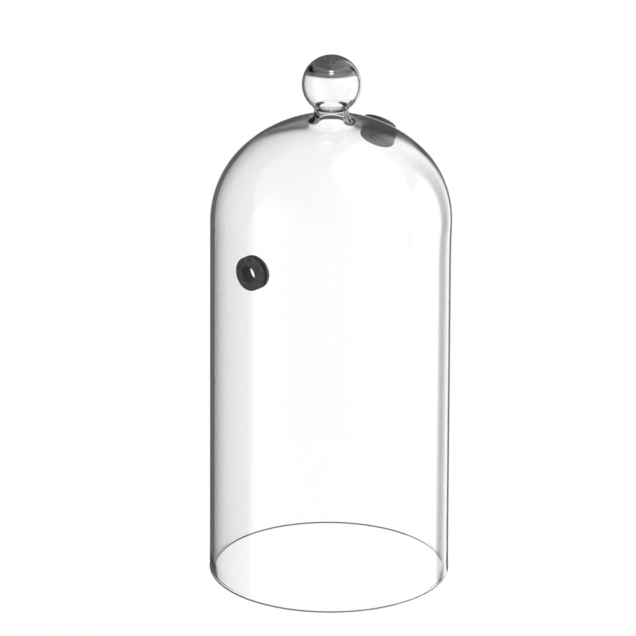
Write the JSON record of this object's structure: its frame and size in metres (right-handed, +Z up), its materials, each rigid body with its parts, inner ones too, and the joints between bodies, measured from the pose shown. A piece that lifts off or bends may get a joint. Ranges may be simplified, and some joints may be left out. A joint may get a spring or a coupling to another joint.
{
  "type": "glass smoking cloche",
  "caption": "Clear glass bell with a ball knob on top, and rubber-lined hose ports in its side and shoulder, for trapping smoke over a plate.",
  "frame": {"origin": "centre of the rim, on the surface the bell stands on", "axes": "+Z up along the bell's axis, -Y towards the front, +X to the right seen from the front"},
  "size_m": [0.1412, 0.1412, 0.3187],
  "materials": {
    "clear_glass": "polished",
    "black_rubber": "matt"
  },
  "bodies": {
    "root": {"dome_shell": "clear_glass", "ball_knob": "clear_glass", "side_grommet": "black_rubber", "shoulder_grommet": "black_rubber"}
  },
  "joints": []
}
